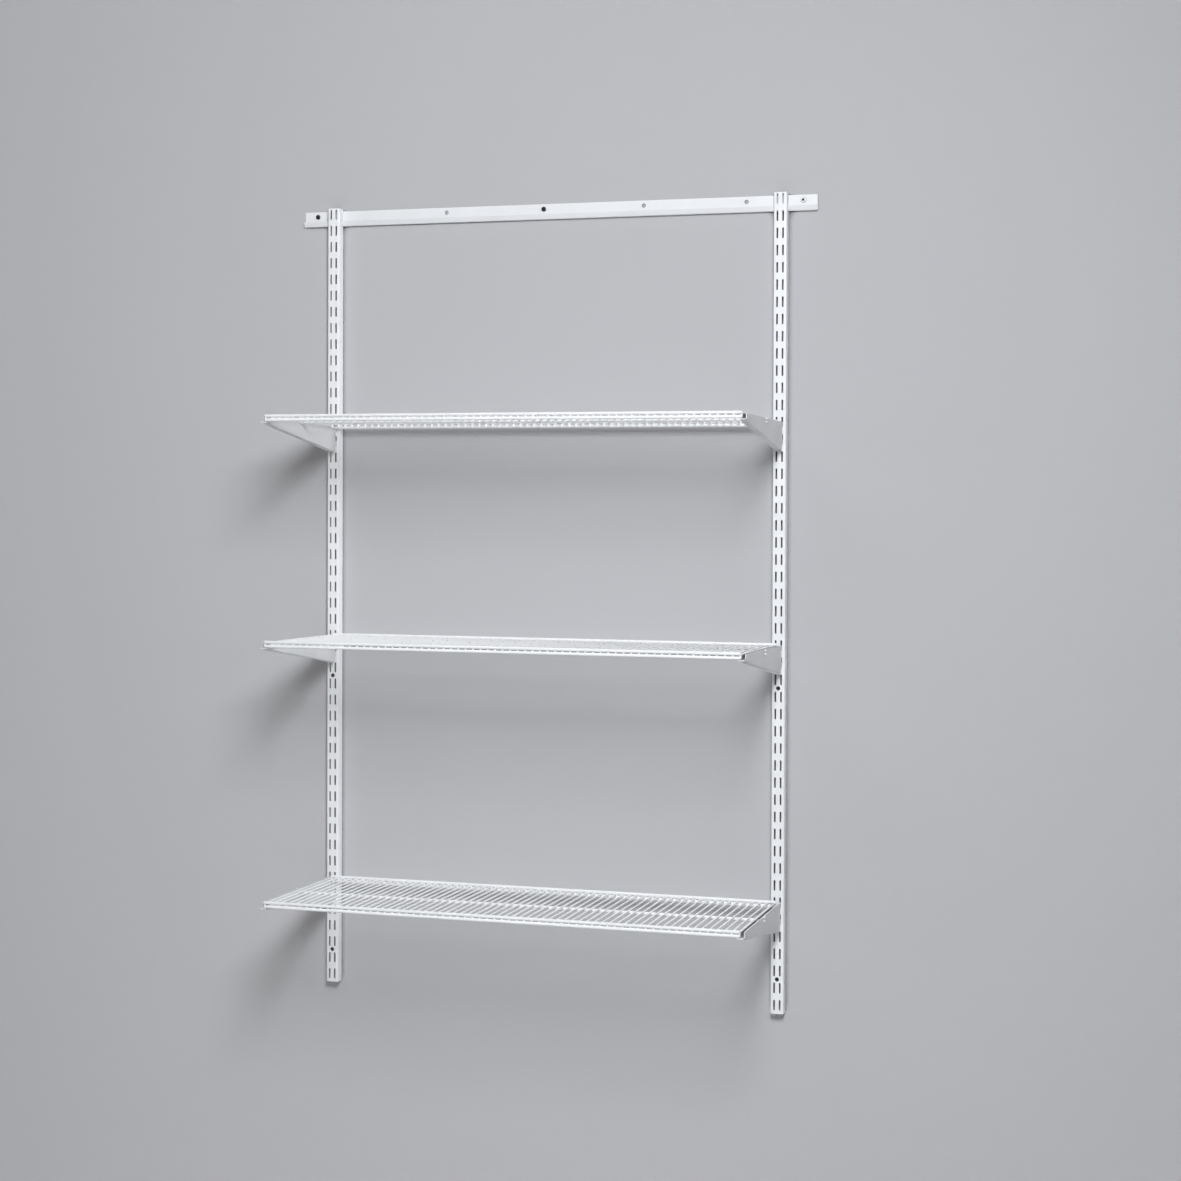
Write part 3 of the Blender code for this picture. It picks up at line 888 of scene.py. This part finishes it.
@dataclass(frozen=True)
class ClickInBracket:
    """A tapered bracket folded from one sheet: two plates with hooks, joined by a fold along the lower edge.

    Between the plates a darker grey is painted as shade, but not on faces that look down or to the room past
    a limit.
    """

    level: Level
    side: Side
    layout: Layout
    shelf: WireShelf
    upright: Upright
    sheet: float = 0.0018
    plate_offset: float = 0.00535
    reach: float = 0.300
    top_drop: float = 0.0012
    tip_depth: float = 0.014
    rear_depth: float = 0.0545
    rear_radius: float = 0.012
    rear_gap: float = 0.003
    notch_length: float = 0.017
    web_start: float = 0.022
    fold_radius: float = 0.0024
    least_radius: float = 0.00009
    tongue_radius: float = 0.00179
    tongue_reach: float = 0.0025
    tongue_step: float = 0.007
    neck_height: float = 0.010
    hook_thickness: float = 0.004
    hook_drop: float = 0.005
    soft_radius: float = 0.0007
    mark_reach: float = 0.038
    mark_drop: float = 0.005
    mark_radius: float = 0.0015
    ear_reach: float = 0.148
    ear_heights: Pair = (0.0015, -0.005)
    ear_size: Triple = (0.0036, 0.0028, 0.0021)
    down_limit: float = 0.3
    room_limit: float = 0.9
    outline_steps: int = 5
    fold_steps: int = 6
    mark_sides: int = 16
    ear_sides: int = 12
    ear_rings: int = 6

    def top(self, reach: float) -> float:
        """Height of the plates' upper edge at a reach."""
        start_reach, start_height = self.shelf.point(0, self.top_drop)
        return start_height + (reach - start_reach) * math.tan(self.shelf.tilt)

    def lower(self, reach: float) -> float:
        """Height of the straight lower edge at a reach."""
        tip = self.top(self.reach) - self.tip_depth
        return tip - (self.reach - reach) * ((tip + self.rear_depth) / (self.reach - self.rear_gap))

    def tongue(self) -> Pair:
        """Reach of the tongue's end and height of its upper face."""
        reach, height = self.shelf.point(self.shelf.span, self.shelf.edge_drop)
        return reach + self.tongue_reach, height - self.shelf.edge_radius - CONTACT_GAP

    def plate_outline(self, notched: bool) -> Array:
        """Side outline of one plate, from the fold's rear end round by the hooks to the fold's front end.

        Args:
            notched: Whether the plate stands under the shelf and makes room for its wires.

        Returns:
            Points given as reach and height.
        """
        soft = self.soft_radius
        neck_bottom = -self.upright.slot_length / 2 + CONTACT_GAP
        neck_top = neck_bottom + self.neck_height
        hook_front = -self.upright.sheet - CONTACT_GAP
        hook_back = hook_front - self.hook_thickness
        hook_bottom = neck_bottom - self.hook_drop
        notch_back = self.shelf.rear_reach - self.shelf.edge_radius - CONTACT_GAP
        notch_front = notch_back + self.notch_length
        notch_floor = self.shelf.point(0, self.shelf.edge_drop)[1] - self.shelf.edge_radius - CONTACT_GAP
        mid_reach, mid_height = self.shelf.point(self.shelf.mid_reach, self.shelf.mid_depth)
        room = self.shelf.mid_radius + CONTACT_GAP
        start, step = self.web_start, self.reach - self.tongue_step
        rear = [
            (start, self.lower(start) + self.fold_radius, 0),
            (start, self.lower(start), 0),
            (self.rear_gap, -self.rear_depth, self.rear_radius),
        ]
        hooks = [corner for drop in (self.layout.slot_pitch, 0) for corner in (
            (self.rear_gap, neck_bottom - drop, 0),
            (hook_front, neck_bottom - drop, 0),
            (hook_front, hook_bottom - drop, soft),
            (hook_back, hook_bottom - drop, soft),
            (hook_back, neck_top - drop, soft),
            (self.rear_gap, neck_top - drop, 0),
        )][:-1]
        notches = [
            (notch_back, neck_top, soft),
            (notch_back, notch_floor, soft),
            (notch_front, notch_floor, soft),
            (notch_front, self.top(notch_front), soft),
            (mid_reach - room, self.top(mid_reach - room), soft),
            (mid_reach - room, mid_height - room, soft),
            (mid_reach + room, mid_height - room, soft),
            (mid_reach + room, self.top(mid_reach + room), soft),
        ]
        whole = [(self.rear_gap, self.top(self.rear_gap), soft)]
        front = [
            (self.reach, self.top(self.reach), soft),
            (self.reach, self.tongue()[1], 0),
            (step, self.lower(step) + self.fold_radius, 0),
        ]
        return rounded_outline(rear + hooks + (notches if notched else whole) + front, self.outline_steps)

    def fold(self) -> Shell:
        """The fold that joins the plates, carried along the lower edge and out into the tongue.

        At each station the outer line is a quarter circle, the flat underside and another quarter circle, and
        the inner line is the same one sheet further in. The sides stay open where the plates continue them.

        Returns:
            The fold's shell.
        """
        tongue_end, tongue_top = self.tongue()
        step = self.reach - self.tongue_step
        tongue_low = tongue_top - self.tongue_radius
        reaches = np.array([self.web_start, step, self.reach, tongue_end])
        lows = np.array([self.lower(self.web_start), self.lower(step), tongue_low, tongue_low])
        radii = np.repeat([self.fold_radius, self.tongue_radius], 2)
        inner_radii = np.maximum(radii - self.sheet, self.least_radius)
        walls = np.minimum(self.sheet, radii - inner_radii)
        half = self.plate_offset + self.sheet / 2
        turns = np.linspace(0, np.pi / 2, self.fold_steps)
        lines = []
        for radius, edge, low in ((radii, half, lows), (inner_radii, half - self.sheet, lows + walls)):
            across = edge - radius[:, None] * (1 - np.cos(turns))
            across = np.concatenate([across, -across[:, ::-1]], axis=1)
            up = low[:, None] + radius[:, None] * (1 - np.sin(turns))
            up = np.concatenate([up, up[:, ::-1]], axis=1)
            lines.append(points_at(across, self.layout.face - reaches[:, None], up))
        stations, count = across.shape
        lift = count * stations
        station, point = count * np.arange(stations - 1)[:, None], np.arange(count - 1)
        skin = quads(station + point, station + point + 1, count)
        ends = [quads(first + point, first + point + 1, lift) for first in (0, lift - count)]
        tongue_edges = lift - 2 * count + np.array([0, count - 1])
        rims = quads(tongue_edges, tongue_edges + count, lift)
        return Shell(np.concatenate(lines).reshape(-1, 3), [skin, skin + lift, *ends, rims])

    def ears(self) -> Shell:
        """Two small pressed ears on the plate that faces away from the shelf.

        Each is an ellipsoid half sunk in the plate: its three sizes times the cosines and sines of two turns.

        Returns:
            The ears as one shell.
        """
        rises = np.linspace(-np.pi / 2, np.pi / 2, self.ear_rings)[1:-1]
        rise, turn = np.meshgrid(rises, even_turns(self.ear_sides), indexing="ij")
        out, along, up = self.ear_size
        ear = ringed(points_at(
            out * np.sin(rise), along * np.cos(rise) * np.cos(turn), up * np.cos(rise) * np.sin(turn)))
        across = self.side.value * (self.plate_offset + self.sheet / 2)
        return ear.repeated(points_at(across, self.layout.face - self.ear_reach, np.array(self.ear_heights)))

    def build(self) -> None:
        """Make the bracket and dress it."""
        node = f"{self.level.word}_{self.side.word}_bracket"
        inner, outer = self.plate_offset - self.sheet / 2, self.plate_offset + self.sheet / 2
        body = self.fold()
        for plate_side in Side:
            near, far = sorted((plate_side.value * inner, plate_side.value * outer))
            outline = self.plate_outline(notched=plate_side is not self.side)
            side_view = np.column_stack([self.layout.face - outline[:, 0], outline[:, 1]])
            body += carried(side_view, Axis.X, near, far, open_edges=2)
        place = (self.layout.upright_place(self.side), 0, self.layout.row_height(self.level.value))
        ring = round_outline(self.mark_radius, 0, self.mark_sides)
        drill = carried(ring, Axis.X, -outer - CUT_OVERRUN, outer + CUT_OVERRUN)
        drill = drill.moved((0, self.layout.face - self.mark_reach, -self.mark_drop))
        mesh = carved(body.moved(place), drill.moved(place), node + "_fold")
        ears = self.ears().moved(place).mesh(node + "_ears")
        shape = bmesh.new()
        for part in (mesh, ears):
            shape.from_mesh(part)
        shape.to_mesh(mesh)
        shape.free()
        bpy.data.meshes.remove(ears)
        # The bracket takes the darker copy of the white powder: painted shade.
        add_piece(mesh, Finish.FOLD_POWDER, node, node)
        centres, normals = face_places(mesh)
        off_middle = np.abs(centres[:, 0] - place[0])
        between = off_middle < inner + CONTACT_GAP
        behind_tip = self.layout.face - centres[:, 1] < self.reach - self.tongue_step / 2
        in_shade = (-normals[:, 2] < self.down_limit) & (-normals[:, 1] < self.room_limit)
        # Painted shade: faces between the plates that turn away from the light take a dark grey.
        coat_faces(mesh, Finish.BRACKET_INSIDE_SHADE, between & behind_tip & in_shade)
        # The pressed ears take the whiter wire coat: a painted highlight.
        coat_faces(mesh, Finish.DIPPED, off_middle > outer + CONTACT_GAP)


class Tint(Enum):
    """Colours of the lamps."""

    COOL = (0.955, 0.975, 1.0)
    PLAIN = (1.0, 1.0, 1.0)
    WARM = (1.0, 0.975, 0.925)


@dataclass(frozen=True)
class Lamp:
    """A soft rectangular lamp, with its power in watts.

    Where even_from isn't zero, the light weakens with the distance and not with its square, and has its plain
    strength at that distance.
    """

    name: str
    place: Triple
    aim: Triple
    size: Pair
    power: float
    tint: Tint = Tint.PLAIN
    even_from: float = 0.0

    def build(self) -> None:
        """Put the lamp in the scene."""
        data = bpy.data.lights.new(self.name, "AREA")
        data.shape = "RECTANGLE"
        data.size, data.size_y = self.size
        data.energy = self.power
        data.color = self.tint.value
        if self.even_from:
            data.use_nodes = True
            plan = NodePlan(data.node_tree)
            falloff = plan.add("LightFalloff", {"Strength": 1.0 / self.even_from}, "Linear")
            plan.fill(plan.tree.nodes["Emission"], {"Strength": falloff})
        lamp = new_object(self.name, data)
        lamp.location = self.place
        lamp.rotation_euler = (Vector(self.aim) - Vector(self.place)).to_track_quat("-Z", "Y").to_euler()


def turned(first: Vector, second: Vector, angle: float) -> tuple[Vector, Vector]:
    """Two square directions turned in their plane by an angle, the first towards the second."""
    sine, cosine = math.sin(angle), math.cos(angle)
    return first * cosine + second * sine, second * cosine - first * sine


@dataclass(frozen=True)
class Studio:
    """Camera, wall, floor and soft light round the object."""

    camera_place: Triple = (1.24613, -3.81495, -0.54758)
    yaw: float = 0.2774898837
    pitch: float = -0.0110617
    roll: float = -0.0036251
    lens: float = 63.350
    sensor: float = 36.0
    shift: Pair = (-0.03476, -0.06044)
    wall_reach: float = 6.0
    floor_height: float = -2.10
    wall_gap: float = 0.0004
    wall_colour: Triple = (0.515, 0.512, 0.528)
    wall_shares: Pair = (0.96, 1.05)
    bright_place: Triple = (0.6, 0.0, 0.1)
    bright_reach: Pair = (0.4, 2.6)
    floor_colour: Triple = (0.66, 0.66, 0.65)
    floor_shares: Pair = (1.0, 1.0)
    contact_reach: float = 0.020
    contact_stops: tuple[Pair, ...] = ((0.40, 0.0), (0.52, 0.62), (0.62, 1.0))
    contact_samples: int = 6
    paint_roughness: float = 0.9
    paint_specular: float = 0.1
    stipple_scale: float = 260.0
    stipple_grain: Pair = (3.0, 0.5)
    stipple_strength: float = 0.25
    stipple_height: float = 0.0003
    room_light: float = 0.045
    room_look: float = 0.62
    lamps: tuple[Lamp, ...] = (
        Lamp("key", (1.0, -2.42, 0.6), (-0.7, 0.0, -1.7), (0.72, 1.02), 77.0, Tint.COOL, even_from=2.9),
        Lamp("top_fill", (-1.5, -2.4, 2.1), (-0.9, 0.0, -0.1), (2.4, 1.5), 18.0),
        Lamp("left_fill", (-2.6, -3.6, -0.6), (-0.2, 0.0, -0.9), (2.4, 2.4), 6.5, Tint.WARM),
        Lamp("low_fill", (0.1, -3.2, -1.45), (0.1, 0.0, -1.5), (2.6, 1.1), 1.5, Tint.WARM),
        Lamp("back_fill", (0.0, 3.0, -0.5), (0.0, 0.0, -0.8), (2.2, 2.0), 40.0),
    )

    def place_camera(self) -> None:
        """Put the camera where the photograph's camera stood."""
        right, ahead = turned(Vector((1, 0, 0)), Vector((0, 1, 0)), self.yaw)
        down, ahead = turned(Vector((0, 0, -1)), ahead, self.pitch)
        right, down = turned(right, down, self.roll)
        data = bpy.data.cameras.new("camera")
        data.sensor_width, data.lens = self.sensor, self.lens
        data.shift_x, data.shift_y = self.shift
        camera = new_object("camera", data)
        stance = Matrix((right, -down, -ahead)).transposed().to_4x4()
        camera.matrix_world = Matrix.Translation(self.camera_place) @ stance
        bpy.context.scene.camera = camera

    def paint(self, name: str, colour: Triple, paler: Pair) -> bpy.types.Material:
        """Matt paint that shows from its front alone, with painted contact shade where something stands close
        to it.

        It lets the lamps shine through, so that one behind the sheet lights the object's back. Its colour is
        scaled by a share that grows evenly with the distance from the place that the key lamp lights most:
        painted shade near that place and painted light far from it, which evens out the lamp's pool of light.

        Args:
            name: The material's name.
            colour: Colour of the paint.
            paler: Share of the colour at the brightest place, and far from it.

        Returns:
            The node material.
        """
        plan = MaterialPlan(name)
        # Painted contact shade: the paint grows darker where the ambient occlusion finds something close.
        near = plan.add("AmbientOcclusion", {"Distance": self.contact_reach}, "AO")
        near.node.samples = self.contact_samples
        stops = [(place, tuple(depth * tone for tone in colour)) for place, depth in self.contact_stops]
        # Painted shade near the key lamp's brightest place and painted light far from it.
        away = plan.add("VectorMath", {0: plan.place, 1: self.bright_place}, "Value", "DISTANCE")
        scale = plan.span(away, self.bright_reach, paler)
        plan.fill(plan.shader, {
            "Base Color": plan.add(
                "VectorMath", {0: plan.ramp(near, stops), "Scale": scale}, "Vector", "SCALE"),
            "Roughness": self.paint_roughness,
            "Specular IOR Level": self.paint_specular,
        })
        stipple = plan.noise(self.stipple_scale, self.stipple_grain)
        plan.relief(stipple, self.stipple_strength, self.stipple_height)
        unseen = plan.add("Math", {
            0: plan.add("NewGeometry", {}, "Backfacing"),
            1: plan.add("LightPath", {}, "Is Shadow Ray")}, "Value", "MAXIMUM")
        choice = plan.add("MixShader", {
            "Fac": unseen,
            1: plan.shader.outputs["BSDF"],
            2: plan.add("BsdfTransparent", {}, "BSDF")}, "Shader")
        plan.fill(plan.tree.nodes["Material Output"], {"Surface": choice})
        return plan.material

    def add_sheet(self, name: str, corners: list[Triple], colour: Triple, paler: Pair) -> None:
        """Add one flat sheet of the stage.

        Args:
            name: The sheet's name.
            corners: Its corners, anticlockwise as seen from its front.
            colour: Its colour.
            paler: Share of the colour at the brightest place, and far from it.
        """
        mesh = bpy.data.meshes.new(name)
        mesh.from_pydata(corners, [], [(0, 1, 2, 3)])
        mesh.materials.append(self.paint(name + "_paint", colour, paler))
        sheet = new_object(name, mesh)

    def build_stage(self) -> None:
        """The wall behind the object and the floor under it."""
        far, low, gap = self.wall_reach, self.floor_height, self.wall_gap
        self.add_sheet("wall", [(-far, gap, low), (far, gap, low), (far, gap, far), (-far, gap, far)],
                       self.wall_colour, self.wall_shares)
        self.add_sheet("floor", [(-far, -far, low), (far, -far, low), (far, gap, low), (-far, gap, low)],
                       self.floor_colour, self.floor_shares)

    def build_light(self) -> None:
        """Soft key light from above and in front, on the right, an even fill, and light on the back alone."""
        for lamp in self.lamps:
            lamp.build()
        world = bpy.data.worlds.new("room")
        world.use_nodes = True
        plan = NodePlan(world.node_tree)
        seen = plan.add("LightPath", {}, "Is Camera Ray")
        plan.fill(plan.tree.nodes["Background"], {
            "Color": (*Tint.PLAIN.value, 1.0),
            "Strength": plan.span(seen, (0.0, 1.0), (self.room_light, self.room_look)),
        })
        bpy.context.scene.world = world

    def build(self) -> None:
        """Make the whole studio."""
        self.place_camera()
        self.build_stage()
        self.build_light()
        bpy.context.scene.view_settings.view_transform = "Standard"


def main() -> None:
    """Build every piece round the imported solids."""
    logging.basicConfig(level=logging.INFO, format="%(name)s: %(message)s")
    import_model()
    layout = Layout()
    rail = HangRail()
    rail.build()
    for screw in (
        RailScrew("rail_screw_left", 0.0046, Finish.DARK_OXIDE, "dark_screw"),
        RailScrew("rail_screw_middle", 0.0046, Finish.DARK_OXIDE, "dark_screw"),
        RailScrew("rail_screw_right", 0.0052, Finish.WHITE_PAINT, "white_screw"),
    ):
        screw.build()
    uprights = {side: Upright(side, layout, rail) for side in Side}
    for upright in uprights.values():
        upright.build()
    for level in Level:
        shelf = WireShelf(level, layout)
        shelf.build()
        for side, upright in uprights.items():
            ClickInBracket(level, side, layout, shelf, upright).build()
    Studio().build()


if __name__ == "__main__":
    main()
